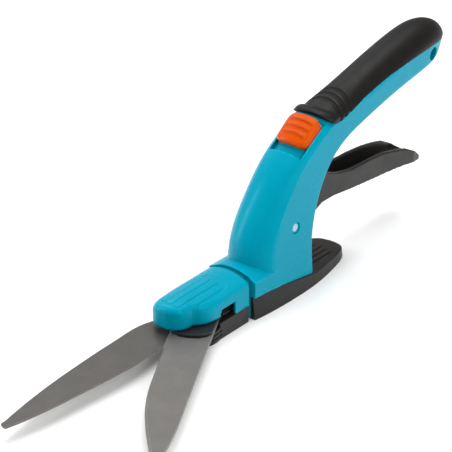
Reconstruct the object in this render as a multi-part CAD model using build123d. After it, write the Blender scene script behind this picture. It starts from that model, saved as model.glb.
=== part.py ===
from build123d import *
import os
from math import sin, cos, radians, degrees, atan2, hypot

os.makedirs("parts", exist_ok=True)

# Hand grass shears with a head that swivels about a lengthwise axis. Units: mm.
# Working frame: +X towards the grip, blades along -X, +Y to the far side, +Z up from the ground,
# x = 0 at the swivel face. On export all is moved so that the origin is under the sole's middle.
SHIFT = -36.0          # export shift along X, from the swivel face to the sole's middle

# --- driving dimensions ---
AXIS_Z = 12.5          # height of the swivel axis
WALL = 2.3             # shell wall
GRIP_T = 2.3           # soft grip thickness
PIVOT = (-27.0, 0.0)   # blade pivot in plan
BLADE_T = 1.6          # blade thickness
BLADE_Z0 = 7.4         # underside of the fixed blade
BLADE_Z1 = 9.1         # underside of the moving blade
OPEN_DEG = 28.0        # how far the moving blade stands open at rest
BLADE_TRAVEL = 33.0    # blade travel from open to shut, degrees
PIN_R = 8.5            # drive pin's radius from the blade pivot
PIN_D = 4.0            # drive pin diameter
LEVER_P = (35.0, 37.0)  # lever pivot, x and z
LEVER_PIN_D = 5.0
ARM = LEVER_P[1] - AXIS_Z                      # lever arm to the drawbar
STROKE = 2 * PIN_R * sin(radians(BLADE_TRAVEL / 2))   # drawbar travel
LEVER_HALF = degrees(atan2(STROKE / 2, ARM))   # half of the lever's travel
ROD_D = 4.0            # drawbar rod
SLEEVE_R = 7.0         # swivel sleeve outer radius
BUSH_R = 9.0           # swivel bushing outer radius
RUN = 0.05             # radial running clearance
LOCK_ANG = 35.0        # slope of the thumb button's track
LOCK_C = (52.8, 80.4)  # middle of the button on the neck surface, x and z
HEAD_SCREW = (-8.8, 10.0)  # head screws, x and half-spacing
HANG = (157.5, 91.2)   # hanging hole, x and z
HANG_R = 3.9


def save(shape, node):
    export_step(Pos(SHIFT, 0, 0) * shape, "parts/" + node + ".step")


def box(x0, x1, y0, y1, z0, z1):
    return Pos((x0 + x1) / 2, (y0 + y1) / 2, (z0 + z1) / 2) * Box(x1 - x0, y1 - y0, z1 - z0)


def cyl_z(x, y, r, z0, z1):
    return Pos(x, y, (z0 + z1) / 2) * Cylinder(r, z1 - z0)


def cyl_y(x, z, r, y0, y1):
    return Pos(x, (y0 + y1) / 2, z) * Rot(90, 0, 0) * Cylinder(r, y1 - y0)


def cyl_x(r, x0, x1, y=0.0, z=AXIS_Z):
    return Pos((x0 + x1) / 2, y, z) * Rot(0, 90, 0) * Cylinder(r, x1 - x0)


def side(pts, y0, y1):
    """Extrude a side profile given as (x, z) points from y0 to y1."""
    face = make_face(Polyline(*[(x, y1, z) for x, z in pts], close=True).edges())
    return extrude(face, amount=y1 - y0, dir=(0, -1, 0))


def plan(pts, z0, z1):
    """Extrude a plan outline given as (x, y) points from z0 to z1."""
    face = make_face(Polyline(*[(x, y, z0) for x, y in pts], close=True).edges())
    return extrude(face, amount=z1 - z0, dir=(0, 0, 1))


# --- the handle's outer form: sections from the front/top line F to the rear/under line R ---
SECTIONS = [
    # F x, F z, R x, R z, half-width, sag of the front arc, rear corner radius
    (6.0, 4.0, 50.0, -3.0, 14.8, 9.5, 3.0),
    (5.4, 20.0, 50.0, 14.0, 14.6, 9.5, 3.0),
    (6.6, 31.0, 50.6, 26.0, 13.9, 9.0, 3.0),
    (11.0, 42.0, 53.2, 38.0, 13.5, 8.6, 3.2),
    (17.8, 52.2, 57.3, 47.6, 13.2, 8.2, 3.4),
    (25.0, 60.8, 62.2, 55.6, 13.0, 7.8, 3.6),
    (34.0, 69.0, 68.6, 62.8, 12.9, 7.2, 3.8),
    (45.0, 76.8, 75.0, 67.0, 12.8, 6.6, 4.0),
    (56.0, 83.6, 83.0, 70.2, 12.6, 6.6, 4.2),
    (67.0, 88.6, 91.0, 72.0, 12.3, 7.6, 4.4),
    (80.0, 92.2, 99.5, 73.6, 12.1, 8.6, 4.6),
    (95.0, 96.1, 109.0, 75.6, 12.1, 9.2, 4.8),
    (112.0, 100.6, 121.0, 78.0, 12.1, 9.6, 5.0),
    (129.0, 104.6, 134.0, 80.4, 12.1, 9.8, 5.0),
    (144.0, 107.4, 146.0, 82.3, 12.0, 9.8, 5.0),
    (155.0, 108.4, 155.0, 83.6, 11.6, 9.6, 5.0),
    (164.4, 107.2, 162.0, 85.4, 10.4, 8.6, 4.4),
    (171.4, 103.8, 168.4, 88.8, 8.0, 6.0, 3.2),
    (175.4, 99.4, 173.4, 93.0, 3.8, 2.6, 1.4),
]


def section(spec, t_top=0.0, t_side=0.0, t_rear=0.0):
    """One closed section wire, inset by the given amounts."""
    fx, fz, rx, rz, w, sag, rc = spec
    length = hypot(fx - rx, fz - rz)
    ux, uz = (fx - rx) / length, (fz - rz) / length
    w = max(w - t_side, 1.0)
    lo, hi = t_rear, length - t_top
    span = hi - lo
    rc = max(min(rc - min(t_side, t_rear), w * 0.6, span * 0.3), 0.35)
    sag = min(sag, span * 0.5, w * 0.95)
    wr = w - min(0.8, w * 0.1)

    def p(a, b):
        return (rx + ux * (lo + b), a, rz + uz * (lo + b))

    k = rc * (1 - 0.70711)
    b1 = span - sag
    e = [
        ThreePointArc(p(-w, b1), p(0, span), p(w, b1)),
        Line(p(w, b1), p(wr, rc)),
        ThreePointArc(p(wr, rc), p(wr - k, k), p(wr - rc, 0)),
        Line(p(wr - rc, 0), p(-(wr - rc), 0)),
        ThreePointArc(p(-(wr - rc), 0), p(-(wr - k), k), p(-wr, rc)),
        Line(p(-wr, rc), p(-w, b1)),
    ]
    return Wire([edge for part in e for edge in part.edges()])


def form(first, last, t_top=0.0, t_side=0.0, t_rear=0.0):
    wires = [section(s, t_top, t_side, t_rear) for s in SECTIONS[first:last + 1]]
    return Solid.make_loft(wires)


# boundary between the soft grip and the hard strip under it, in side view
GRIP_EDGE = [(60.7, 88.6), (61.4, 86.8), (63.8, 84.6), (67.5, 82.6), (72.0, 82.1), (78.0, 83.2),
             (83.0, 84.8), (92.5, 87.8), (105.0, 90.6), (117.0, 93.0), (132.0, 95.0), (148.0, 96.3),
             (158.0, 96.8), (166.0, 96.4), (178.0, 94.5)]


def grip_region():
    pts = GRIP_EDGE + [(190.0, 94.0), (190.0, 130.0), (52.0, 130.0), (52.0, 93.5)]
    return side(pts, -30, 30)


# parting line between the housing and the sole
PART_LINE = [(0.0, 12.6), (20.0, 11.2), (44.5, 7.0), (51.0, 6.0)]


def above_sole():
    return side(PART_LINE + [(200, 6), (200, 200), (0, 200)], -30, 30)


def foot_block():
    """The flange behind the swivel face: arched top, straight sides."""
    w, crease, top = 14.8, 20.8, 25.2
    e = [
        Line((0, -w, 0), (0, w, 0)),
        Line((0, w, 0), (0, w, crease)),
        ThreePointArc((0, w, crease), (0, 0, top), (0, -w, crease)),
        Line((0, -w, crease), (0, -w, 0)),
    ]
    face = make_face([edge for part in e for edge in part.edges()])
    return extrude(face, amount=17.0, dir=(1, 0, 0))


def lever_slot():
    """Room for the lever and its swing, open through the rear wall."""
    pts = [(33, 27), (48, 27), (60, 24), (66, 30), (66, 64.5), (60.5, 66.0), (50.0, 60.0), (33, 52)]
    return side(pts, -8.7, 8.7)


def cavities():
    """The hollow neck, and the narrower hollow under the soft grip."""
    keep = side([(2, 0), (50, 0), (60, 40), (150, 70), (150, 110), (2, 110)], -30, 30)
    wall = side([(x, z - 2.6) for x, z in GRIP_EDGE] + [(190, 130), (58, 130), (58, 90)], -30, 30)
    front = box(-1, 10.2, -20, 20, -5, 30)     # stays solid round the swivel bushing
    neck = (form(0, 15, WALL, WALL, WALL) & keep) - front - wall
    inset = GRIP_T + WALL
    handle = form(6, 15, inset, inset, WALL) & keep
    return neck, handle


SCREWS = [(23.0, 45.0), (41.0, 60.2), (100.0, 83.0), (143.0, 91.0)]


def lock_frame(dx=0.0, dn=0.0):
    """Placement on the button's track: local x down the slope to the front, local z outwards."""
    c, s = cos(radians(LOCK_ANG)), sin(radians(LOCK_ANG))
    x = LOCK_C[0] - dx * c - dn * s
    z = LOCK_C[1] - dx * s + dn * c
    return Pos(x, 0, z) * Rot(0, -LOCK_ANG, 0)


def along(r):
    """Cylinder along the button's track, its axis 16.5 mm under the track."""
    return Pos(0, 0, -16.5) * Rot(0, 90, 0) * Cylinder(r, 40.0)


def half_shell():
    """What both halves of the housing share, drawn for the far side (+Y)."""
    other = box(-60, 220, -40, 0, -20, 160)
    outer = (form(0, 18) + foot_block()) & above_sole()
    region = grip_region()
    core = form(0, 18, GRIP_T, GRIP_T, 0.0) & region
    body = ((outer - region) + core) - other
    for hollow in cavities():
        body = body - (hollow - other)
    # bosses that carry the lever pin, the screws and the hanging hole
    inside = form(0, 18, 1.0, 1.0, 1.0) - other
    bosses = [cyl_y(LEVER_P[0], LEVER_P[1], 5.2, 7.8, 14)]
    bosses += [cyl_y(x, z, 3.1, 0, 14) for x, z in SCREWS]
    bosses.append(cyl_y(HANG[0], HANG[1], 5.6, 0, 14))
    for x in (20.0, 43.0):
        bosses.append(cyl_z(x, 10.9, 3.0, 6.0, 22.0) & above_sole())
    for boss in bosses:
        body = body + (boss & inside)
    # swivel bore, drawbar way, lever way
    body = body - cyl_x(BUSH_R + 0.02, -1, 9.7) - cyl_x(10.4, 9.7, 12.4) - cyl_x(6.6, 9.0, 46.0)
    body = body - lever_slot() - box(24, 46.5, -8.2, 8.2, 4, 32)
    # lever pin hole with a recess at its outer end
    body = body - cyl_y(LEVER_P[0], LEVER_P[1], LEVER_PIN_D / 2, -1, 30)
    body = body - cyl_y(LEVER_P[0], LEVER_P[1], 3.3, 11.9, 30)
    # sole screws from below
    for x in (20.0, 43.0):
        body = body - cyl_z(x, 10.9, 1.22, -1, 15.0)
    body = body - cyl_y(HANG[0], HANG[1], HANG_R, -1, 30)
    # floor plate, crowned recess and slot for the thumb button
    under = Box(27.0, 19.6, 8.0) & (along(16.1) - along(13.5))
    body = body + (lock_frame(2.5, 0) * under & inside)
    body = body - lock_frame(2.5, 0) * (Pos(0, 0, 2.0) * Box(23.4, 19.8, 12.0) - along(16.1))
    body = body - lock_frame(2.5, 0) * Box(11.1, 6.2, 30.0)
    return body


def housing_far(shell):
    """The screws go in from this side."""
    for x, z in SCREWS:
        shell = shell - cyl_y(x, z, 1.55, -1, 30) - cyl_y(x, z, 2.9, 8.6, 30)
    return shell


def housing_near(shell):
    shell = mirror(shell, about=Plane.XZ)
    for x, z in SCREWS:
        shell = shell - cyl_y(x, z, 1.22, -8.0, 1)
    return shell


def soft_grip():
    outer = form(0, 18) & grip_region()
    # raised lip at the front, over the button
    s0 = (59.5, 88.0, 83.0, 71.0, 12.7, 6.6, 4.2)
    s1 = (62.0, 89.4, 85.6, 71.9, 12.8, 6.8, 4.2)
    s2 = (66.0, 89.3, 89.5, 72.6, 12.4, 7.0, 4.2)
    lip = Solid.make_loft([section(s0), section(s1), section(s2)])
    lip = lip & side([(52, 94.2), (60.4, 88.6), (63.4, 84.9), (66, 83.4), (80, 84), (80, 120), (52, 120)],
                     -30, 30)
    grip = outer + lip
    grip = grip - form(0, 18, GRIP_T, GRIP_T, 0.0)
    # three shallow grooves across the front
    for i in range(3):
        x, z = 73.0 + 4.4 * i, 90.2 + 1.1 * i
        ring = form(8, 12, -3.0, -3.0, -3.0) - form(8, 12, 0.7, 0.7, 0.7)
        slab = Pos(x, 0, z - 4.5) * Rot(0, 20.0, 0) * Box(1.5, 60, 15.0)
        grip = grip - (ring & slab)
    return grip


def sole():
    pts = [(-4.0, 14.0), (5.0, 15.4), (14.0, 16.2), (34.5, 16.8), (48.0, 16.3), (60.0, 14.8),
           (69.0, 13.2), (78.0, 11.0), (83.0, 8.0), (85.0, 4.0)]
    curve = Spline(*[(x, -y) for x, y in pts])
    other = Spline(*[(x, y) for x, y in pts])
    end = ThreePointArc((85.0, -4.0), (85.5, 0), (85.0, 4.0))
    front = Line((-4, 14.0), (-4, -14.0))
    face = make_face([e for part in (curve, end, other, front) for e in part.edges()])
    body = extrude(face, amount=14.0, dir=(0, 0, 1), taper=7)
    prof = [(0.0, 0), (62, 0), (76, 0.6), (86, 1.6), (86, 4.6), (80, 5.4), (60.0, 5.9), (51.0, 6.0)]
    prof = prof + [(44.5, 7.0), (20.0, 11.2), (0.0, 12.6)]
    body = body & side(prof, -30, 30)
    # hollow under the drawbar and the lever arm
    body = body - plan([(12.4, -8.2), (46.5, -8.2), (46.5, 8.2), (12.4, 8.2)], 3.0, 30)
    body = body - cyl_x(BUSH_R + 0.02, -1, 9.7) - cyl_x(10.4, 9.7, 12.5)
    # ribbed platform
    for y in (-7.5, -3.75, 0.0, 3.75, 7.5):
        body = body - (Pos(65.0, y, 6.0) * Box(22.0 - abs(y) * 0.6, 1.3, 1.6))
    for x in (20.0, 43.0):
        for y in (-10.9, 10.9):
            body = body - cyl_z(x, y, 1.6, -1, 30) - cyl_z(x, y, 3.1, -1, 2.6)
    return body


def screw_z(x, y, z_head, length, r=1.45, head_r=2.9, head_h=1.8):
    s = cyl_z(x, y, head_r, z_head, z_head + head_h) + cyl_z(x, y, r, z_head + 1.0, z_head + length)
    return s - (Pos(x, y, z_head) * (Box(0.7, 3.2, 1.4) + Box(3.2, 0.7, 1.4)))


def screw_y(x, z, y_head, length, r=1.2, head_r=2.6, head_h=1.8):
    s = cyl_y(x, z, head_r, y_head - head_h, y_head) + cyl_y(x, z, r, y_head - length, y_head - 1.0)
    return s - (Pos(x, y_head, z) * (Box(0.7, 1.4, 3.2) + Box(3.2, 1.4, 0.7)))


# --- lever, drawn with the drawbar at its forward end ---
def lever_at(solid):
    """Turn a shape drawn with a plumb arm to the lever's rest angle."""
    return (Pos(LEVER_P[0], 0, LEVER_P[1]) * Rot(0, LEVER_HALF, 0)
            * Pos(-LEVER_P[0], 0, -LEVER_P[1]) * solid)


LEVER_TOP = [(44.0, 51.5), (55.0, 55.6), (65.0, 55.0), (76.0, 50.8), (89.0, 47.8), (105.0, 47.4),
             (119.0, 46.2), (131.0, 43.8), (139.0, 41.6), (147.0, 37.4), (153.0, 32.6)]
LEVER_LOW = [(154.6, 30.2), (149.0, 30.8), (137.0, 32.4), (126.0, 33.4), (114.5, 34.2), (102.0, 35.4),
             (88.0, 36.8), (75.0, 38.4), (64.0, 38.6), (56.0, 35.4), (50.0, 31.4)]


def lever():
    # the rear end flares a little and is rounded in plan
    pl = [(30, -8.2), (118, -8.2), (134, -8.9), (145, -9.6), (152, -8.4), (155.5, -5.0), (156.2, 0),
          (155.5, 5.0), (152, 8.4), (145, 9.6), (134, 8.9), (118, 8.2), (30, 8.2)]
    outer = side(LEVER_TOP + LEVER_LOW, -10, 10) & plan(pl, 0, 80)
    inner_low = [(x, z + 3.0) for x, z in LEVER_LOW]
    chan = [(50.5, 90.0), (50.5, 43.0), (56.0, 42.6), (64.0, 42.6)] + [
        (x, z) for x, z in reversed(inner_low) if 70 < x < 150] + [(151.0, 34.5), (151.0, 90.0)]
    pl2 = [(50.5, -5.8), (118, -5.8), (134, -6.5), (144, -7.0), (149, -5.4), (151.5, 0),
           (149, 5.4), (144, 7.0), (134, 6.5), (118, 5.8), (50.5, 5.8)]
    outer = outer - (side(chan, -12, 12) & plan(pl2, 0, 100))
    # dip between the walls at the rear end
    outer = outer - (Pos(156.5, 0, 40.5) * Cylinder(6.2, 11.0))
    # hub and arm to the fork
    px, pz = LEVER_P
    hub = cyl_y(px, pz, 7.0, -7.5, 4.4) + cyl_y(px, pz, 3.9, 4.4, 7.5)
    link = side([(px - 4, pz + 6.2), (46.0, 52.2), (58.0, 54.0), (58.0, 38.0), (50.0, 31.4),
                 (px + 2, pz - 6.6)], -7.5, 4.4)
    link = link + side([(42.0, 49.0), (46.0, 52.2), (58.0, 54.0), (58.0, 38.0), (50.0, 31.4),
                        (44.0, 33.5)], -8.2, 8.2)
    arm = plumb_arm()
    body = outer + link + hub + lever_at(arm)
    body = body - cyl_y(px, pz, LEVER_PIN_D / 2 + RUN, -20, 20)
    return body


def plumb_arm():
    px, pz = LEVER_P
    web = box(px - 2.6, px + 2.6, -4.0, 4.0, 19.4, pz - 4.0)
    cross = box(px - 2.6, px + 2.6, -6.2, 6.2, 18.6, 22.6)
    out = web + cross
    for s in (-1, 1):
        y0, y1 = (2.75, 6.2) if s > 0 else (-6.2, -2.75)
        out = out + box(px - 1.8, px + 1.8, y0, y1, AXIS_Z, 19.0)
        out = out + cyl_y(px, AXIS_Z, 2.45, y0, y1)
    return out


def lever_spring():
    """Torsion spring round the hub's spigot, one leg on the arm and one on the shell."""
    px, pz = LEVER_P
    helix = Helix(pitch=1.3, height=1.95, radius=4.75)
    path = helix.edges()[0]
    prof = Plane(origin=path @ 0, z_dir=path % 0) * Circle(0.5)
    coil = sweep(prof, path=path)
    return Pos(px, 4.95, pz) * Rot(-90, 0, 0) * coil


def lock_slider():
    """Crowned thumb button with three ridges across, on a stem through the slot."""
    pad = Box(17.6, 19.0, 16.0)
    pad = fillet(pad.edges().filter_by(Axis.Z), 4.2)
    pad = pad & (along(20.2) - along(16.3))
    ridge = along(20.9) - along(19.0)
    for i in (-1, 0, 1):
        pad = pad + (ridge & (Pos(i * 4.6 - 0.6, 0, 0) * Box(1.7, 14.0, 16.0)))
    stem = Pos(0, 0, -2.4) * Box(5.4, 5.4, 5.0)
    return lock_frame(0, 0) * (pad + stem)


def lock_latch():
    plate = Pos(0, 0, -5.7) * Box(14.0, 10.0, 1.6)
    nose = Pos(-4.0, 0, -8.6) * Box(3.0, 5.0, 5.0)
    return lock_frame(0, 0) * (plate + nose)


# --- drawbar ---
FORK_X = LEVER_P[0] - STROKE / 2     # the fork's x at rest
PIN_ANG = 90.0 + BLADE_TRAVEL / 2    # the drive pin's bearing from the blade pivot at rest


def drive_xy():
    return (PIVOT[0] + PIN_R * cos(radians(PIN_ANG)), PIVOT[1] + PIN_R * sin(radians(PIN_ANG)))


def pull_rod():
    return cyl_x(ROD_D / 2, -14.8, FORK_X + 7.0)


def rod_spool():
    body = cyl_x(5.0, FORK_X - 5.0, FORK_X - 2.55) + cyl_x(5.0, FORK_X + 2.55, FORK_X + 5.0)
    body = body + cyl_x(2.5, FORK_X - 5.0, FORK_X + 5.0)
    return body - cyl_x(ROD_D / 2 + 0.01, FORK_X - 6, FORK_X + 6)


def crosshead():
    px = drive_xy()[0]
    z0, z1 = 12.6, 15.4
    block = box(-15.2, -11.5, -4.0, 4.0, 9.9, 15.4)
    plate = plan([(-11.5, -4.0), (-11.5, 4.0), (-13.5, 6.0), (-17.6, 7.4), (-17.6, 10.4), (px - 4.6, 10.4),
                  (px - 4.6, 4.9), (-20.4, 4.9), (-15.2, 3.0), (-15.2, -4.0)], z0, z1)
    body = block + plate
    body = body - box(px - PIN_D / 2 - RUN, px + PIN_D / 2 + RUN, 5.95, 20, 10, 20)
    return body - cyl_x(ROD_D / 2 + 0.01, -14.9, 0)


# --- head ---
def arch(x0, x1, w, crease, top, z_low):
    e = [
        Line((x0, -w, z_low), (x0, w, z_low)),
        Line((x0, w, z_low), (x0, w - 0.4, crease)),
        ThreePointArc((x0, w - 0.4, crease), (x0, 0, top), (x0, -w + 0.4, crease)),
        Line((x0, -w + 0.4, crease), (x0, -w, z_low)),
    ]
    return extrude(make_face([d for part in e for d in part.edges()]), amount=x1 - x0, dir=(1, 0, 0))


def cover_outline(inset, z0, z1):
    """Plan of the cover: straight far side, round bulge over the pivot, rounded front lobe."""
    i = inset
    rear = plan([(-3.0 - i, -13.0 + i), (-29.5, -13.0 + i), (-29.5, 13.0 - i), (-3.0 - i, 13.0 - i)], z0, z1)
    bulge = cyl_z(-29.5, -0.3, 12.7 - i, z0, z1)
    x0, x1, y0, y1 = -51.0 + i, -29.0, -7.9 + i, 13.0 - i
    lobe = plan([(x0, y0), (x1, y0), (x1, y1), (x0, y1)], z0, z1)
    edges = [d for d in lobe.edges().filter_by(Axis.Z) if d.center().X < x0 + 1]
    lobe = fillet(edges, 9.0 - i)
    return rear + bulge + lobe


def round_front(drop):
    """Side profile that rounds the cover's front down; drop lowers it for the inside."""
    top = [(-51.2, 18.2), (-50.7, 20.6), (-49.5, 22.3), (-47.6, 23.6), (-45.0, 24.5), (-41.0, 25.2),
           (-3.0, 26.0)]
    return side([(-51.2, 0.0)] + [(x, z - drop) for x, z in top] + [(-3.0, 0.0)], -20, 20)


def head_cover():
    outer = arch(-51.2, -3.0, 13.0, 21.6, 25.2, 9.0) & cover_outline(0.0, 0, 40)
    outer = outer & round_front(0.0)
    inner = arch(-49.4, -4.8, 11.2, 20.2, 23.2, 0.0) & cover_outline(1.8, 0, 22.6) & round_front(2.0)
    body = outer - inner
    # lower edge: raised over the blade's hub, just over the blade behind it
    body = body - box(-60, -25.0, -20, 20, 0, 12.8)
    body = body - box(-60, -22.0, -20, 20, 0, 11.0)
    # window in the near wall
    body = body - box(-25.0, -13.2, -20, -9, 0, 16.2)
    # swivel sleeve: round seat and a groove for its flange
    body = body + (box(-6.6, -3.0, -12.9, 12.9, 9.0, 23.0) & arch(-49, -3.0, 13.0, 21.6, 25.2, 9.0))
    body = body - cyl_x(SLEEVE_R + 0.05, -6, 0)
    # bosses for the two head screws
    for y in (-HEAD_SCREW[1], HEAD_SCREW[1]):
        body = body + cyl_z(HEAD_SCREW[0], y, 2.4, 9.0, 21.0)
        body = body - cyl_z(HEAD_SCREW[0], y, 1.2, 8, 18.0)
    body = body - cyl_x(9.7, -6.7, -4.35)
    # post that presses on the pivot nut's top
    body = body + (cyl_z(PIVOT[0], PIVOT[1], 3.6, 18.3, 23.4))
    # sunk panel with raised ribs on top
    panel = plan([(-41.5, -6.4), (-15.5, -6.4), (-15.5, 8.4), (-41.5, 8.4)], 20, 40)
    panel = fillet(panel.edges().filter_by(Axis.Z), 3.0)
    shell = arch(-60, 0, 13.0, 21.6, 25.3, 9.0) - arch(-60, 0, 13.0, 21.0, 24.6, 9.0)
    body = body - (panel & shell)
    for y in (-4.0, -1.2, 1.6, 4.4, 7.0):
        rib = box(-40.0, -17.0, y - 0.55, y + 0.55, 22, 40)
        body = body + (rib & (arch(-60, 0, 13.0, 21.5, 25.1, 9.0) - arch(-60, 0, 13.0, 20.8, 24.2, 9.0)))
    return body


def head_base():
    plate = plan([(-3.0, -13.0), (-29.0, -13.0), (-29.0, 13.0), (-3.0, 13.0)], 0, 9.0)
    boss = cyl_z(-29.4, -0.6, 13.0, 0.0, 6.6)
    front = plan([(-29, -4), (-44, -2.5), (-46.5, 2.0), (-46.5, 8.5), (-43.5, 12.0), (-29, 12.4)], 1.5, 7.4)
    body = (plate - box(-60, -25.4, -20, 20, 6.6, 20)) + boss + front + cyl_z(PIVOT[0], 0, 6.5, 6.0, 7.4)
    for z in (2.0, 4.3):
        groove = cyl_z(-29.4, -0.6, 15.0, z, z + 0.7) - cyl_z(-29.4, -0.6, 12.2, z, z + 0.7)
        body = body - (groove & box(-60, -24.0, -20, -4.0, 0, 8))
    # pocket for the fixed blade's tang
    body = body - plan([(-7.4, -8.9), (-60, -8.9), (-60, 30), (-29, 30), (-29, 8.9), (-7.4, 8.9)], 7.4, 20)
    # room for the moving blade's tail and the crosshead block
    body = body - box(-26, -8.5, -5.2, 5.2, 9.0, 20)
    # swivel sleeve seat and flange groove
    body = body - cyl_x(SLEEVE_R + 0.05, -6.0, 0) - cyl_x(9.7, -6.6, -4.35)
    # pivot bolt hole, locating pin hole, screw holes
    body = body - cyl_z(PIVOT[0], 0, 3.02, -1, 20) - cyl_z(PIVOT[0], 0, 5.6, -1, 2.6)
    body = body - cyl_z(-14.0, 5.0, 1.5, 3.0, 20)
    for y in (-HEAD_SCREW[1], HEAD_SCREW[1]):
        body = body - cyl_z(HEAD_SCREW[0], y, 1.4, -1, 20) - cyl_z(HEAD_SCREW[0], y, 2.75, -1, 2.4)
    return body


def swivel_sleeve():
    body = cyl_x(9.6, -6.2, -4.4) + cyl_x(SLEEVE_R, -4.5, 12.4)
    body = body - (cyl_x(SLEEVE_R + 1, 9.95, 11.05) - cyl_x(5.9, 9.9, 11.1))
    return body - cyl_x(ROD_D / 2 + RUN, -10, 14)


def swivel_bushing():
    return cyl_x(BUSH_R, 0.0, 9.6) - cyl_x(SLEEVE_R + RUN, -1, 10)


def retaining_ring():
    ring = cyl_x(9.8, 10.0, 11.0) - cyl_x(5.95, 9.5, 11.5)
    return ring - box(9, 12, -2.4, 2.4, AXIS_Z - 12, AXIS_Z)


def swivel_spacer():
    body = arch(-2.7, 0.0, 12.2, 20.4, 23.9, 1.0)
    return body - cyl_x(SLEEVE_R + 0.3, -5, 2)


def blade_wire(z, parts):
    edges = [d for part in parts for d in part.edges()]
    return Wire(edges).moved(Location((0, 0, z)))


def fixed_outline(bevel):
    """Outline of the fixed blade; bevel moves the cutting edge in for the ground outer face."""
    g = bevel
    back = [(-36.0, 11.0), (-44.0, 14.4), (-51.8, 16.3), (-66.0, 16.3), (-80.0, 15.8), (-94.0, 15.0),
            (-107.0, 14.1), (-119.5, 12.9), (-131.5, 11.4), (-143.0, 9.5), (-153.0, 7.6)]
    edge = [(-156.8 + g, 4.0 + g * 0.4), (-141.3, 0.2 + g), (-127.0, -1.8 + g), (-113.0, -3.2 + g),
            (-98.7, -4.7 + g), (-83.8, -5.7 + g), (-76.8, -5.8 + g), (-66.0, -5.0 + g),
            (-56.0, -3.6 + g), (-46.0, -3.0 + g), (-36.0, -6.4)]
    return [Line((-8.0, 8.6), (-30.0, 8.6)), Line((-30.0, 8.6), (-36.0, 11.0)), Spline(*back),
            ThreePointArc((-153.0, 7.6), (-156.5 + g * 0.8, 6.2), edge[0]), Spline(*edge),
            Line((-36.0, -6.4), (-30.0, -8.6)), Line((-30.0, -8.6), (-8.0, -8.6)),
            Line((-8.0, -8.6), (-8.0, 8.6))]


def fixed_blade():
    low = blade_wire(BLADE_Z0, fixed_outline(1.2))
    top = blade_wire(BLADE_Z0 + BLADE_T, fixed_outline(0.0))
    body = Solid.make_loft([low, top], True)
    return body - cyl_z(PIVOT[0], 0, 3.02, 0, 20) - cyl_z(-14.0, 5.0, 1.5, 0, 20)


def moving_outline(bevel):
    g = bevel
    edge = [(-38.0, 9.6), (-46.0, 10.2 - g), (-57.0, 10.3 - g), (-68.0, 9.5 - g), (-79.0, 9.1 - g),
            (-95.0, 8.6 - g), (-105.0, 7.7 - g), (-115.0, 6.0 - g), (-125.0, 3.6 - g),
            (-134.0, 1.0 - g), (-145.0, -2.6 - g), (-154.0 + g * 0.6, -5.9 - g * 0.6)]
    back = [(-154.4 + g * 0.4, -8.8), (-145.0, -10.4), (-131.0, -11.4), (-110.0, -11.5),
            (-80.0, -11.3), (-57.0, -11.2), (-38.0, -11.2)]
    return [Line((-27.0, 9.6), (-38.0, 9.6)), Spline(*edge),
            ThreePointArc(edge[-1], (-155.4 + g * 0.6, -7.7), back[0]), Spline(*back),
            Line((-38.0, -11.2), (-27.0, -11.2)), Line((-27.0, -11.2), (-27.0, 9.6))]


def moving_blade():
    low = blade_wire(BLADE_Z1, moving_outline(0.0))
    top = blade_wire(BLADE_Z1 + BLADE_T, moving_outline(1.2))
    body = Solid.make_loft([low, top], True)
    body = body + cyl_z(PIVOT[0], 0, 11.2, BLADE_Z1, BLADE_Z1 + BLADE_T)
    body = open_up(body - cyl_z(PIVOT[0], 0, 3.05, 0, 20))
    dx, dy = drive_xy()
    return body - cyl_z(dx, dy, PIN_D / 2, 0, 20)


def open_up(shape):
    return Pos(PIVOT[0], PIVOT[1], 0) * Rot(0, 0, OPEN_DEG) * Pos(-PIVOT[0], -PIVOT[1], 0) * shape


def hub_disc():
    """Moulding on the blade's root: a disc, a stepped rim on the near side, a tongue to the front."""
    z0 = BLADE_Z1 + BLADE_T
    px = PIVOT[0]
    tongue = [(px, 9.2), (px - 17.0, 9.2), (px - 21.0, 7.6), (px - 23.2, 4.2), (px - 23.6, 0.0),
              (px - 23.0, -5.0), (px - 21.0, -8.9), (px - 17.5, -11.1), (px, -11.6)]
    near = plan([(px, 0), (px - 16.0, 2.2), (px - 16.0, -16.0), (px + 6.0, -16.0)], z0, 12.3)
    rim = cyl_z(px, 0, 12.4, z0, 11.1) + cyl_z(px, 0, 11.9, z0, 11.7) + cyl_z(px, 0, 12.4, 11.7, 12.3)
    body = open_up(plan(tongue, z0, 12.3) + (rim & near)) + cyl_z(px, 0, 10.9, z0, 12.2)
    body = body - cyl_z(px, 0, 3.05, 0, 20) - cyl_z(px, 0, 4.6, 12.2, 20)
    dx, dy = drive_xy()
    return body - cyl_z(dx, dy, PIN_D / 2, 0, 20)


def drive_pin():
    dx, dy = drive_xy()
    return cyl_z(dx, dy, PIN_D / 2, BLADE_Z1, 15.4)


def pivot_bolt():
    x = PIVOT[0]
    body = cyl_z(x, 0, 5.4, 0.6, 2.6) + cyl_z(x, 0, 3.0, 2.5, 12.2) + cyl_z(x, 0, 2.5, 12.1, 17.4)
    return body - box(x - 4, x + 4, -0.6, 0.6, 0, 1.5)


def pivot_nut():
    x = PIVOT[0]
    nut = extrude(RegularPolygon(4.0, 6, major_radius=False, rotation=30), amount=4.0)
    nut = nut.moved(Location((x, 0, 13.1)))
    return nut - cyl_z(x, 0, 2.5, 10, 20)


def pivot_washer():
    x = PIVOT[0]
    return cyl_z(x, 0, 4.4, 12.25, 13.1) - cyl_z(x, 0, 2.5, 10, 20)


def locating_pin():
    return cyl_z(-14.0, 5.0, 1.5, 3.0, 8.9)


def lever_pin():
    body = cyl_y(LEVER_P[0], LEVER_P[1], LEVER_PIN_D / 2, -12.4, 12.4)
    return chamfer(body.edges(), 0.4)


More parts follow.
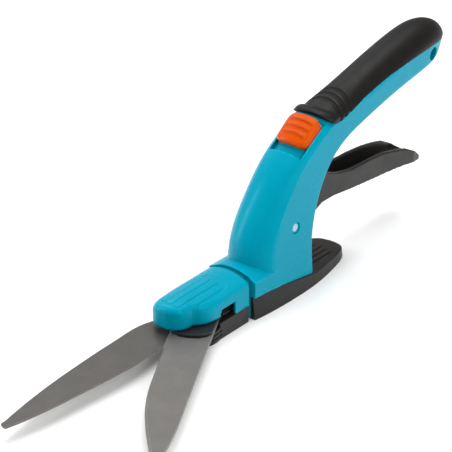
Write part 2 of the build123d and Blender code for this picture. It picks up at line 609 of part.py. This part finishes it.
def main():
    shell = half_shell()
    save(housing_far(shell), "housing_far")
    save(housing_near(shell), "housing_near")
    save(soft_grip(), "soft_grip")
    save(sole(), "sole")
    for i, (x, z) in enumerate(SCREWS):
        save(screw_y(x, z, 10.6, 17.0), "housing_screw_%d" % (i + 1))
    n = 1
    for x in (20.0, 43.0):
        for y in (-10.9, 10.9):
            save(screw_z(x, y, 0.7, 13.0, 1.2), "sole_screw_%d" % n)
            n += 1
    save(lever(), "lever")
    save(lever_pin(), "lever_pin")
    save(lever_spring(), "lever_spring")
    save(lock_slider(), "lock_slider")
    save(lock_latch(), "lock_latch")
    save(pull_rod(), "pull_rod")
    save(rod_spool(), "rod_spool")
    save(crosshead(), "crosshead")
    save(head_cover(), "head_cover")
    save(head_base(), "head_base")
    save(screw_z(HEAD_SCREW[0], -HEAD_SCREW[1], 0.5, 15.0, 1.15, 2.6), "head_screw_1")
    save(screw_z(HEAD_SCREW[0], HEAD_SCREW[1], 0.5, 15.0, 1.15, 2.6), "head_screw_2")
    save(swivel_sleeve(), "swivel_sleeve")
    save(swivel_bushing(), "swivel_bushing")
    save(retaining_ring(), "retaining_ring")
    save(swivel_spacer(), "swivel_spacer")
    save(fixed_blade(), "fixed_blade")
    save(moving_blade(), "moving_blade")
    save(hub_disc(), "hub_disc")
    save(drive_pin(), "drive_pin")
    save(pivot_bolt(), "pivot_bolt")
    save(pivot_nut(), "pivot_nut")
    save(pivot_washer(), "pivot_washer")
    save(locating_pin(), "locating_pin")


main()
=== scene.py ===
import math

import bmesh
import bpy
from mathutils import Matrix, Vector


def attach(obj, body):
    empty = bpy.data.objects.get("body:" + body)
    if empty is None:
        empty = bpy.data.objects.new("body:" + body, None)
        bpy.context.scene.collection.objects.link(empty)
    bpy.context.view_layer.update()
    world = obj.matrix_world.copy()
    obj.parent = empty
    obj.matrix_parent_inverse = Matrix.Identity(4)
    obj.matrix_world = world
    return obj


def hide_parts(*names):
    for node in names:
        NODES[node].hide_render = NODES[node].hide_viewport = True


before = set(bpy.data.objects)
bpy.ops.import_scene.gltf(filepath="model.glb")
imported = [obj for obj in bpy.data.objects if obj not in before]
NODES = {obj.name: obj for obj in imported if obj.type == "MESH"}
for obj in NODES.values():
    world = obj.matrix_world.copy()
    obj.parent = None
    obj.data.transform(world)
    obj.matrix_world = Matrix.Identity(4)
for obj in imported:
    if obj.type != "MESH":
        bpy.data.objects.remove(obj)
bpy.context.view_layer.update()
MM = 0.001
SWIVEL_X = -36.0      # the swivel face's x in the row frame, mm


def point(x, y, z):
    """A point given from the swivel face, in mm, as metres in the row frame."""
    return Vector(((x + SWIVEL_X) * MM, y * MM, z * MM))


def add_object(name, data):
    o = bpy.data.objects.new(name, data)
    bpy.context.scene.collection.objects.link(o)
    return o


# ---------------------------------------------------------------- shader helpers
MOTTLE, UNEVEN, WEAR_AND_HIGHLIGHT, SPECKS = 45.0, 130.0, 260.0, 1500.0     # noise scales of plastic, per metre
SMEAR, GRIND_COLOUR, GRIND_GLOSS, GRIND_BUMP = 90.0, 2600.0, 1800.0, 3200.0     # and of steel


def node(nt, kind, **inputs):
    """A shader node with its inputs set; an underscore in a name stands for a space."""
    n = nt.nodes.new(kind)
    for k, v in inputs.items():
        n.inputs[k.replace("_", " ")].default_value = v
    return n


def ramp(nt, fac, stops):
    """A colour ramp; each stop is a position and a grey or an RGB colour."""
    r = nt.nodes.new("ShaderNodeValToRGB")
    els = r.color_ramp.elements
    while len(els) < len(stops):
        els.new(0.5)
    for e, (p, c) in zip(els, stops):
        e.position = p
        e.color = (c, c, c, 1) if isinstance(c, float) else (*c, 1)
    nt.links.new(fac, r.inputs[0])
    return r.outputs[0]


def coords(nt, scale=(1, 1, 1), turn=0.0):
    """The object's own coordinates, scaled and turned about Z."""
    tc = nt.nodes.new("ShaderNodeTexCoord")
    mp = node(nt, "ShaderNodeMapping", Scale=scale, Rotation=(0, 0, turn))
    nt.links.new(tc.outputs["Object"], mp.inputs[0])
    return mp.outputs[0]


def noise(nt, vec, scale, detail=3.0, rough=0.55):
    """Grey noise at a scale per metre."""
    n = node(nt, "ShaderNodeTexNoise", Scale=scale, Detail=detail, Roughness=rough)
    nt.links.new(vec, n.inputs["Vector"])
    return n.outputs["Fac"]


def maths(nt, operation, a, b):
    """Sum or product of a socket with a socket or a number."""
    n = nt.nodes.new("ShaderNodeMath")
    n.operation = operation
    nt.links.new(a, n.inputs[0])
    if isinstance(b, float):
        n.inputs[1].default_value = b
    else:
        nt.links.new(b, n.inputs[1])
    return n.outputs[0]


def mix(nt, fac, under, over):
    """Colour under, turned into the plain colour over by the mask fac."""
    n = nt.nodes.new("ShaderNodeMixRGB")
    n.inputs["Color2"].default_value = (*over, 1)
    nt.links.new(fac, n.inputs["Fac"])
    nt.links.new(under, n.inputs["Color1"])
    return n.outputs[0]


def spread(color, part):
    """A little darker and a little lighter than the colour."""
    return tuple(c * (1 - part) for c in color), tuple(min(c * (1 + part), 1) for c in color)


def edge_mask(nt, radius_mm):
    """0 on flats, towards 1 along edges, and the rounded normal that it comes from."""
    bev = node(nt, "ShaderNodeBevel", Radius=radius_mm * MM)
    bev.samples = 4
    geo = nt.nodes.new("ShaderNodeNewGeometry")
    dot = nt.nodes.new("ShaderNodeVectorMath")
    dot.operation = "DOT_PRODUCT"
    nt.links.new(bev.outputs[0], dot.inputs[0])
    nt.links.new(geo.outputs["Normal"], dot.inputs[1])
    mr = node(nt, "ShaderNodeMapRange", From_Min=0.95, From_Max=0.75)
    nt.links.new(dot.outputs["Value"], mr.inputs["Value"])
    return mr.outputs["Result"], bev.outputs[0]


# ---------------------------------------------------------------- materials
def base_material(name, rough, metallic=0.0, spec=0.5, tint=(1, 1, 1)):
    """A new material, its node tree and its shader."""
    m = bpy.data.materials.new(name)
    m.use_nodes = True
    b = m.node_tree.nodes["Principled BSDF"]
    b.inputs["Roughness"].default_value = rough
    b.inputs["Metallic"].default_value = metallic
    b.inputs["Specular IOR Level"].default_value = spec
    b.inputs["Specular Tint"].default_value = (*tint, 1)
    return m, m.node_tree, b


def plastic(name, color, rough, grain=0.25, grain_mm=0.35, var=0.06, edge=1.12, radius=0.5,
            spec=0.5, speck=0.0, tint=(1, 1, 1), round_edges=True):
    """Moulded plastic: slight mottling, uneven gloss, a fine spark-eroded grain, and edges made paler by the
    factor edge: worn edges on most parts, and with a large factor, as on the teal, a painted highlight line
    along the creases.
    """
    m, nt, b = base_material(name, rough, spec=spec, tint=tint)
    vec = coords(nt)
    lo, hi = spread(color, var)
    col = ramp(nt, noise(nt, vec, MOTTLE, 4.0), [(0.3, lo), (0.7, hi)])
    mask, rounded = edge_mask(nt, radius)
    patchy = ramp(nt, noise(nt, vec, WEAR_AND_HIGHLIGHT, 5.0), [(0.42, 0.1), (0.62, 0.8)])
    # pale edge colour: wear on most parts, a painted highlight line on the teal
    paler = [min(c * edge + 0.004, 1) for c in color]
    out = mix(nt, maths(nt, "MULTIPLY", mask, patchy), col, paler)
    if speck:
        dark = node(nt, "ShaderNodeMixRGB", Fac=speck)
        dark.blend_type = "MULTIPLY"
        nt.links.new(out, dark.inputs["Color1"])
        spots = ramp(nt, noise(nt, vec, SPECKS, 2.0), [(0.35, 0.55), (0.6, 1.0)])
        nt.links.new(spots, dark.inputs["Color2"])
        out = dark.outputs[0]
    nt.links.new(out, b.inputs["Base Color"])
    gloss = ramp(nt, noise(nt, vec, UNEVEN, 5.0), [(0.3, max(rough - 0.05, 0.05)), (0.7, rough + 0.06)])
    nt.links.new(gloss, b.inputs["Roughness"])
    bump = node(nt, "ShaderNodeBump", Strength=grain, Distance=0.06 * MM)
    nt.links.new(noise(nt, vec, 1 / (grain_mm * MM), 2.0), bump.inputs["Height"])
    if round_edges:
        nt.links.new(rounded, bump.inputs["Normal"])
    nt.links.new(bump.outputs[0], b.inputs["Normal"])
    return m


def steel(name, color, rough, metallic, turn=0.0):
    """Sheet or turned steel with fine grinding lines along X (turned by an angle), brighter at edges."""
    m, nt, b = base_material(name, rough, metallic=metallic)
    vec = coords(nt, turn=turn)
    lines = coords(nt, scale=(0.04, 1, 1), turn=turn)
    both = maths(nt, "ADD", noise(nt, lines, GRIND_COLOUR, 3.0), noise(nt, vec, SMEAR, 5.0))
    lo, hi = spread(color, 0.12)
    col = ramp(nt, maths(nt, "MULTIPLY", both, 0.5), [(0.36, lo), (0.64, hi)])
    mask, rounded = edge_mask(nt, 0.25)
    nt.links.new(mix(nt, mask, col, (0.62, 0.61, 0.6)), b.inputs["Base Color"])
    streaks = noise(nt, lines, GRIND_GLOSS, 3.0)
    gloss = ramp(nt, streaks, [(0.3, max(rough - 0.07, 0.05)), (0.7, rough + 0.08)])
    nt.links.new(gloss, b.inputs["Roughness"])
    bump = node(nt, "ShaderNodeBump", Strength=0.35, Distance=0.02 * MM)
    nt.links.new(noise(nt, lines, GRIND_BUMP, 2.0), bump.inputs["Height"])
    nt.links.new(rounded, bump.inputs["Normal"])
    nt.links.new(bump.outputs[0], b.inputs["Normal"])
    return m


BLADE_OPENING = math.radians(28)      # the moving blade stands open at rest
TEAL_SHEEN = (0.12, 0.75, 1.0)        # keeps the white floor's reflection from greying the teal

# The teal's strong pale edge colour (edge 2.8, radius 1.0) paints a highlight line along its creases:
# painted highlight, not wear.
TEAL = plastic("teal_plastic", (0.0, 0.275, 0.390), 0.30, grain=0.05, grain_mm=0.6, var=0.03, edge=2.8,
               radius=1.0, spec=0.13, tint=TEAL_SHEEN, round_edges=False)
DARK_TEAL = plastic("dark_teal", (0.0, 0.12, 0.165), 0.42, grain=0.1, var=0.05, spec=0.25, tint=TEAL_SHEEN)
BLACK = plastic("black_plastic", (0.0115, 0.0098, 0.0088), 0.40, grain=0.4, grain_mm=0.45, var=0.12,
                edge=2.2, radius=0.7, spec=0.32, speck=0.25)
SOFT = plastic("soft_rubber", (0.0070, 0.0062, 0.0056), 0.44, grain=0.35, grain_mm=0.3, var=0.12,
               edge=1.6, radius=0.7, spec=0.16)
ORANGE = plastic("orange_plastic", (0.59, 0.066, 0.0), 0.34, grain=0.08, var=0.04, edge=1.1, radius=0.6,
                 spec=0.3, tint=(1.0, 0.5, 0.2))
WHITE = plastic("white_acetal", (0.72, 0.72, 0.70), 0.4, grain=0.1, var=0.03, edge=1.05)
# Both blades carry the same coating; the moving blade's lighter colour is painted reflection, the fixed
# blade's darker one its shaded copy.
BLADE_A = steel("coated_steel_fixed", (0.078, 0.073, 0.067), 0.42, 0.35)
BLADE_B = steel("coated_steel_moving", (0.138, 0.131, 0.123), 0.42, 0.35, turn=-BLADE_OPENING)
ZINC = steel("zinc_steel", (0.62, 0.62, 0.63), 0.3, 1.0)
PIN = steel("pin_steel", (0.42, 0.55, 0.62), 0.4, 0.6)

BY_NODE = {
    "housing_far": TEAL, "housing_near": TEAL, "head_cover": TEAL, "swivel_spacer": DARK_TEAL,
    "soft_grip": SOFT, "sole": BLACK, "lever": BLACK, "head_base": BLACK, "hub_disc": BLACK,
    "swivel_bushing": BLACK, "lock_slider": ORANGE, "rod_spool": WHITE, "swivel_sleeve": WHITE,
    "fixed_blade": BLADE_A, "moving_blade": BLADE_B, "lever_pin": PIN,
}


def paint_nodes():
    """Gives every CAD part its material; the small metal parts are zinc."""
    for name, obj in NODES.items():
        obj.data.materials.clear()
        obj.data.materials.append(BY_NODE.get(name, ZINC))


# ---------------------------------------------------------------- helpers for pieces in mesh code
def smooth_object(name, bm, material):
    """Turns a bmesh into a smooth-shaded object."""
    bmesh.ops.recalc_face_normals(bm, faces=bm.faces)
    me = bpy.data.meshes.new(name)
    bm.to_mesh(me)
    bm.free()
    for p in me.polygons:
        p.use_smooth = True
    me.materials.append(material)
    return add_object(name, me)


def piece(name, verts, faces, material, body):
    """A piece that rides on a body, from its points and faces."""
    raw = bpy.data.meshes.new(name + "_raw")
    raw.from_pydata([tuple(v) for v in verts], [], faces)
    raw.validate()
    bm = bmesh.new()
    bm.from_mesh(raw)
    bpy.data.meshes.remove(raw)
    o = smooth_object(name, bm, material)
    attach(o, body)
    return o


def smoothstep(a, b, x):
    """0 at a and 1 at b, with a smooth rise between."""
    t = min(max((x - a) / (b - a), 0.0), 1.0)
    return t * t * (3 - 2 * t)


def half_chord(r, d):
    """Half the width of a circle of radius r, d from its centre."""
    return math.sqrt(max(r * r - d * d, 0.0))


def round_over(d, r):
    """How far a surface drops d inside an edge that is rounded with radius r."""
    return r - half_chord(r, r - d) if d < r else 0.0


def lerp_table(table, x):
    """Piecewise-linear value from (x, value) pairs in rising x."""
    if x <= table[0][0]:
        return table[0][1]
    for (x0, v0), (x1, v1) in zip(table, table[1:]):
        if x <= x1:
            return v0 + (v1 - v0) * (x - x0) / (x1 - x0)
    return table[-1][1]


def segment_distance(px, py, ax, ay, bx, by):
    """Distance from a point to a straight segment."""
    dx, dy = bx - ax, by - ay
    t = max(0.0, min(1.0, ((px - ax) * dx + (py - ay) * dy) / max(dx * dx + dy * dy, 1e-9)))
    return math.hypot(px - ax - t * dx, py - ay - t * dy)


def rounded_box(x, y, x0, x1, y0, y1, r):
    """Signed distance to a rounded rectangle, negative inside."""
    cx, cy, hx, hy = (x0 + x1) / 2, (y0 + y1) / 2, (x1 - x0) / 2 - r, (y1 - y0) / 2 - r
    qx, qy = abs(x - cx) - hx, abs(y - cy) - hy
    return math.hypot(max(qx, 0), max(qy, 0)) + min(max(qx, qy), 0) - r


def grid_faces(cols, rows):
    """Quads of a grid of cols by rows cells, whose points are listed row by row in each column."""
    w = rows + 1
    return [(i * w + j, (i + 1) * w + j, (i + 1) * w + j + 1, i * w + j + 1)
            for i in range(cols) for j in range(rows)]


def grid_rim(cols, rows):
    """The grid's outer points in order, once round."""
    w = rows + 1
    rim = [i * w for i in range(cols + 1)] + [cols * w + j for j in range(1, w)]
    return rim + [i * w + rows for i in range(cols - 1, -1, -1)] + list(range(rows - 1, 0, -1))


def wall_faces(rims):
    """Quads between closed rims of points, each rim under the one before."""
    faces = []
    for upper, lower in zip(rims, rims[1:]):
        for i in range(len(upper)):
            k = (i + 1) % len(upper)
            faces.append((upper[i], upper[k], lower[k], lower[i]))
    return faces


# ---------------------------------------------------------------- head cover, mm from the swivel face
COVER_FRONT, COVER_REAR, COVER_HALF_Y = -51.0, -3.0, 13.0
COVER_SIDE_Z, COVER_CROWN = 21.6, 3.6           # top at the side walls, and the middle's rise over it
COVER_FALL = [(-51, -1.3), (-41, -0.35), (-20, 0.0), (-3, 0.15)]     # change of height along x
COVER_WALL = 1.6
EAR_X, EAR_Y, EAR_R = -29.5, -0.3, 12.7         # round ear over the blades' pivot, on the near side
LOBE_X, LOBE_R = -42.0, 9.0                     # rounded front corners
NEAR_LOBE_Y, FAR_LOBE_Y = 1.1, 4.0
EAR_BLEND = 1.6                                 # width of the soft corner between ear and lobe
REAR_EDGE_R = 0.8
PANEL = (-47.0, -12.8, -9.3, 8.8, 4.6)          # sunk panel: x and y limits, corner radius
PANEL_DEPTH, BAR_HEIGHT, BAR_HALF, BAR_CORNER = 0.4, 0.5, 1.75, 1.2
# raised bars: y of the middle, front x, rear x
BARS = [(-6.6, -45.0, -18.2), (-2.15, -46.0, -16.4), (2.3, -46.0, -16.0), (6.4, -44.6, -17.2)]
SWIVEL_Z, SLEEVE_R = 12.5, 8.0                  # the rear edge arches over the swivel sleeve
STEPS_X = (-25.0, -22.0, -13.2)                 # steps of the lower edge: blades, base, window
WINDOW_STEP_X = -24.2                           # a small step of the window's upper edge


def near_edge(x):
    """y of the cover's near side: straight wall, round ear, then the front lobe."""
    if x > EAR_X:
        return EAR_Y - EAR_R
    ear = EAR_Y - half_chord(EAR_R, x - EAR_X) if x > EAR_X - EAR_R else 0.0
    lobe = NEAR_LOBE_Y - (LOBE_R if x > LOBE_X else half_chord(LOBE_R, x - LOBE_X))
    h = max(EAR_BLEND - abs(ear - lobe), 0.0) / EAR_BLEND
    return min(ear, lobe) - h * h * EAR_BLEND * 0.25


def far_edge(x):
    """y of the cover's far side: straight wall, then the front lobe."""
    return COVER_HALF_Y if x > LOBE_X else FAR_LOBE_Y + half_chord(LOBE_R, x - LOBE_X)


def cover_columns():
    """x of the mesh's columns: close at the front and rear, a pair at each of STEPS_X, one in the window."""
    steps = [s + d for s in STEPS_X for d in (-0.05, 0.05)] + [-23.6]
    xs = [COVER_FRONT + 2.4 * (1 - math.cos(math.pi / 2 * i / 12)) for i in range(12)]
    xs += [-48.6 + 45.0 * i / 128 for i in range(129)] + [-3.35, -3.1, COVER_REAR]
    xs = [x for x in xs if all(abs(x - s) > 0.04 for s in steps)] + steps
    return sorted(set(round(x, 4) for x in xs))


def cover_segments(xs):
    """The cover's outline from above, as short straight segments."""
    near = [(x, near_edge(x)) for x in xs]
    far = [(x, far_edge(x)) for x in xs]
    return list(zip(near, near[1:])) + list(zip(far, far[1:])) + [(near[0], far[0])]


def cover_top(x, y, segments):
    """Height of the top: crowned, rounded to its outline, with a sunk panel and four raised bars."""
    z = COVER_SIDE_Z + COVER_CROWN * (1 - (y / COVER_HALF_Y) ** 2) + lerp_table(COVER_FALL, x)
    reach = 6.5     # segments further away along x don't matter for the rounding
    d = min(segment_distance(x, y, *a, *b) for a, b in segments
            if abs(a[0] - x) < reach or abs(b[0] - x) < reach)
    # the rounding grows towards the front, on the far side further along
    r = 1.2 + 1.6 * smoothstep(-22, -31, x)
    if y > 6:
        r = 1.5 + 1.3 * smoothstep(-30, -42, x)
    z -= round_over(d, r) + round_over(COVER_REAR - x, REAR_EDGE_R)
    z -= PANEL_DEPTH * smoothstep(0.0, 0.35, -rounded_box(x, y, *PANEL))
    for c, front, rear in BARS:
        q = rounded_box(x, y, front, rear, c - BAR_HALF, c + BAR_HALF, BAR_CORNER)
        z += BAR_HEIGHT * (1 - smoothstep(-0.1, 0.35, q))
    return z


def cover_low(x, y):
    """Height of the lower edge: arch at the rear, window on the near side, clear of the blades in front."""
    over_blades, near_front, near_rear, base_front, base_rear = 12.8, 14.8, 16.2, 11.0, 9.05
    blades_x, base_x, window_x = STEPS_X
    if x > -3.05 and abs(y) < 12.9:
        return 9.0 if abs(y) > SLEEVE_R else SWIVEL_Z + half_chord(SLEEVE_R, y)
    if x < blades_x:
        return over_blades
    if y < 0 and x < window_x:
        return near_front if x < WINDOW_STEP_X else near_rear
    return base_front if x < base_x else base_rear


def head_cover_shell():
    """The cover: its top, the walls down to its lower edge, and a wall thickness inwards."""
    xs, rows, levels = cover_columns(), 96, 7
    segments = cover_segments(xs)
    plan = []
    for x in xs:
        y0, y1 = near_edge(x), far_edge(x)
        for j in range(rows + 1):
            t = 0.35 * 0.5 * (1 - math.cos(math.pi * j / rows)) + 0.65 * j / rows
            plan.append((x, y0 + (y1 - y0) * t))
    high = [cover_top(x, y, segments) for x, y in plan]
    verts = [point(x, y, z) for (x, y), z in zip(plan, high)]
    rims = [grid_rim(len(xs) - 1, rows)]
    for s in range(1, levels + 1):
        first = len(verts)
        for i in rims[0]:
            x, y = plan[i]
            verts.append(point(x, y, high[i] + (cover_low(x, y) - high[i]) * s / levels))
        rims.append(range(first, len(verts)))
    faces = grid_faces(len(xs) - 1, rows) + wall_faces(rims)
    o = piece("cover_shell", verts, faces, TEAL, "head")
    wall = o.modifiers.new("wall", "SOLIDIFY")
    wall.thickness = COVER_WALL * MM
    wall.offset = -1
    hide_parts("head_cover")


# ---------------------------------------------------------------- housing
def housing_skin():
    """The two housing halves as one moulded shell, without a visible parting line."""
    bm = bmesh.new()
    for name in ("housing_far", "housing_near"):
        bm.from_mesh(NODES[name].data)
    parting = [f for f in bm.faces if all(abs(v.co.y) < 0.01 * MM for v in f.verts)]
    bmesh.ops.delete(bm, geom=parting, context="FACES")
    bmesh.ops.remove_doubles(bm, verts=bm.verts, dist=0.02 * MM)
    o = smooth_object("housing_skin", bm, TEAL)
    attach(o, "handle")
    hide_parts("housing_far", "housing_near")
    return o


# ---------------------------------------------------------------- thumb slide, mm
TRACK_SLOPE = math.radians(35.0)
TRACK_X, TRACK_Z = 52.8, 80.4          # the track's middle on the neck
CROWN_DEPTH = 16.5                     # the crown's axis under the track
PAD_HALF_A, PAD_HALF_Y, PAD_CORNER = 8.8, 9.5, 4.2      # along and across the track, from above
PAD_TOP_R, PAD_UNDER_R, PAD_RIM_R = 20.3, 16.3, (17.4, 16.7)     # crown radii, top to underside
PAD_EDGE_R = 1.4
RIDGES_A, RIDGE_HEIGHT, RIDGE_BOW = (-5.0, -0.9, 3.2), 0.95, 1.1
STEM_HALF, STEM_TOP, STEM_END = 2.7, -0.1, -4.9


def track_point(a, y, n):
    """A point at a down the track, y across and n out of the surface."""
    c, s = math.cos(TRACK_SLOPE), math.sin(TRACK_SLOPE)
    return point(TRACK_X - a * c - n * s, y, TRACK_Z - a * s + n * c)


def crown(radius, y):
    """Height of a crown of this radius, at y across the track."""
    return half_chord(radius, y) - CROWN_DEPTH


def pad_top(a, y):
    """Height of the pad's top: crowned both ways, rounded edge, three bowed ridges."""
    inside = -rounded_box(a, y, -PAD_HALF_A, PAD_HALF_A, -PAD_HALF_Y, PAD_HALF_Y, PAD_CORNER)
    n = crown(PAD_TOP_R, y) - 0.4 * (a / PAD_HALF_A) ** 2 - round_over(max(inside, 0), PAD_EDGE_R)
    fade = 1 - smoothstep(6.2, 7.6, abs(y))
    for c in RIDGES_A:
        q = a - c - RIDGE_BOW * (y / PAD_HALF_Y) ** 2
        n += RIDGE_HEIGHT * fade * smoothstep(-1.7, -0.2, q) * (1 - smoothstep(0.1, 0.7, q))
    return n


def pad_plan(cols, rows):
    """The pad's grid from above, closer towards its outline."""
    plan = []
    for i in range(cols + 1):
        a = PAD_HALF_A * (0.5 * -math.cos(math.pi * i / cols) + 0.5 * (2 * i / cols - 1))
        corner = max(abs(a) - (PAD_HALF_A - PAD_CORNER), 0.0)
        w = PAD_HALF_Y - PAD_CORNER + half_chord(PAD_CORNER, corner)
        for j in range(rows + 1):
            plan.append((a, w * (0.5 * -math.cos(math.pi * j / rows) + 0.5 * (2 * j / rows - 1))))
    return plan


def slide_pad():
    """Crowned orange pad on a square stem."""
    cols, rows = 96, 84
    plan = pad_plan(cols, rows)
    verts = [track_point(a, y, pad_top(a, y)) for a, y in plan]
    faces = grid_faces(cols, rows)
    rims = [grid_rim(cols, rows)]
    for radius in PAD_RIM_R:
        first = len(verts)
        verts += [track_point(*plan[i], crown(radius, plan[i][1])) for i in rims[0]]
        rims.append(range(first, len(verts)))
    under = len(verts)
    verts += [track_point(a, y, crown(PAD_UNDER_R, y)) for a, y in plan]
    faces += [tuple(under + i for i in reversed(f)) for f in faces]
    rims.append([under + i for i in rims[0]])
    faces += wall_faces(rims)
    stem, s = len(verts), STEM_HALF
    square = ((-s, -s), (s, -s), (s, s), (-s, s))
    verts += [track_point(a, y, n) for n in (STEM_TOP, STEM_END) for a, y in square]
    faces += wall_faces([range(stem, stem + 4), range(stem + 4, stem + 8)])
    faces += [tuple(range(stem, stem + 4)), tuple(range(stem + 4, stem + 8))]
    o = piece("slide_pad", verts, faces, ORANGE, "lock")
    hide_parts("lock_slider")


# ---------------------------------------------------------------- edges of the CAD parts
def soften(o, width_mm, segments=2):
    """Bevels every edge sharper than 32 degrees, for the look only."""
    weld = o.modifiers.new("weld", "WELD")
    weld.merge_threshold = 0.01 * MM
    b = o.modifiers.new("bevel", "BEVEL")
    b.width = width_mm * MM
    b.segments = segments
    b.limit_method = "ANGLE"
    b.angle_limit = math.radians(32)
    b.harden_normals = False
    b.use_clamp_overlap = True
    o.modifiers.new("normals", "WEIGHTED_NORMAL").keep_sharp = False


def mould(o, voxel_mm, passes):
    """Rounds every edge of a moulded part a little, as a mould would."""
    r = o.modifiers.new("skin", "REMESH")
    r.mode = "VOXEL"
    r.voxel_size = voxel_mm * MM
    r.use_smooth_shade = True
    m = o.modifiers.new("round", "SMOOTH")
    m.factor = 0.5
    m.iterations = passes


# ---------------------------------------------------------------- stage, metres
CAMERA_PLACE = Vector((-0.69571, -0.5303, 0.48874))
CAMERA_AZIMUTH, CAMERA_ELEVATION = math.radians(-141.0), math.radians(27.5)
LENS_MM, SENSOR_MM = 155.11, 36.0
FLOOR_HALF = 40.0


def floor():
    """Off-white floor, far larger than the object."""
    bm = bmesh.new()
    bmesh.ops.create_grid(bm, x_segments=2, y_segments=2, size=FLOOR_HALF)
    me = bpy.data.meshes.new("floor")
    bm.to_mesh(me)
    bm.free()
    m, nt, b = base_material("floor_paint", 0.9, spec=0.1)
    col = ramp(nt, noise(nt, coords(nt), 3.0), [(0.3, (0.94, 0.94, 0.935)), (0.7, (0.955, 0.955, 0.95))])
    nt.links.new(col, b.inputs["Base Color"])
    me.materials.append(m)
    o = add_object("floor", me)


def aim(o, direction):
    o.rotation_euler = Vector(direction).to_track_quat("-Z", "Y").to_euler()


def area(name, place, target, size, power):
    """A rectangular light at a place, aimed at a target."""
    light = bpy.data.lights.new(name, "AREA")
    light.shape = "RECTANGLE"
    light.size, light.size_y = size
    light.energy = power
    o = add_object(name, light)
    o.location = place
    aim(o, Vector(target) - Vector(place))


def sun(name, towards, strength, spread_degrees):
    """A broad overhead light that reaches the far floor too."""
    light = bpy.data.lights.new(name, "SUN")
    light.energy = strength
    light.angle = math.radians(spread_degrees)
    aim(add_object(name, light), -Vector(towards))


def lights():
    """Three area lights, a broad overhead one and a plain white sky."""
    area("key", (-0.15, -1.3, 0.95), (0.0, 0.0, 0.05), (0.8, 0.8), 11)
    sun("top", (0.4, 0.15, 2.0), 2.3, 45)
    area("back", (0.5, 1.1, 1.1), (0.0, 0.0, 0.06), (0.9, 0.9), 5)
    area("strip", (-0.65, 1.0, 0.4), (0.0, 0.0, 0.06), (0.14, 0.9), 8)
    world = bpy.data.worlds.new("world")
    bpy.context.scene.world = world
    world.use_nodes = True
    sky = world.node_tree.nodes["Background"]
    sky.inputs["Color"].default_value = (1, 1, 1, 1)
    sky.inputs["Strength"].default_value = 0.35
    bpy.context.scene.view_settings.view_transform = "Standard"
    bpy.context.scene.view_settings.look = "None"


def camera():
    """A long lens from in front, above and the near side."""
    cam = bpy.data.cameras.new("camera")
    cam.lens = LENS_MM
    cam.sensor_width = SENSOR_MM
    cam.clip_start, cam.clip_end = 0.05, 20.0
    flat, up = math.cos(CAMERA_ELEVATION), math.sin(CAMERA_ELEVATION)
    back = Vector((flat * math.cos(CAMERA_AZIMUTH), flat * math.sin(CAMERA_AZIMUTH), up))
    right = Vector((0, 0, 1)).cross(back).normalized()
    axes = Matrix((right, back.cross(right), back)).transposed()
    o = add_object("camera", cam)
    o.matrix_world = Matrix.Translation(CAMERA_PLACE) @ axes.to_4x4()
    bpy.context.scene.camera = o


# ---------------------------------------------------------------- the scene
floor()
camera()
lights()
paint_nodes()
head_cover_shell()
slide_pad()
soften(housing_skin(), 0.5)
mould(NODES["lever"], 0.4, 8)
mould(NODES["soft_grip"], 0.35, 4)
soften(NODES["sole"], 1.2, segments=3)
for name in ("head_base", "hub_disc", "swivel_spacer"):
    soften(NODES[name], 0.4)
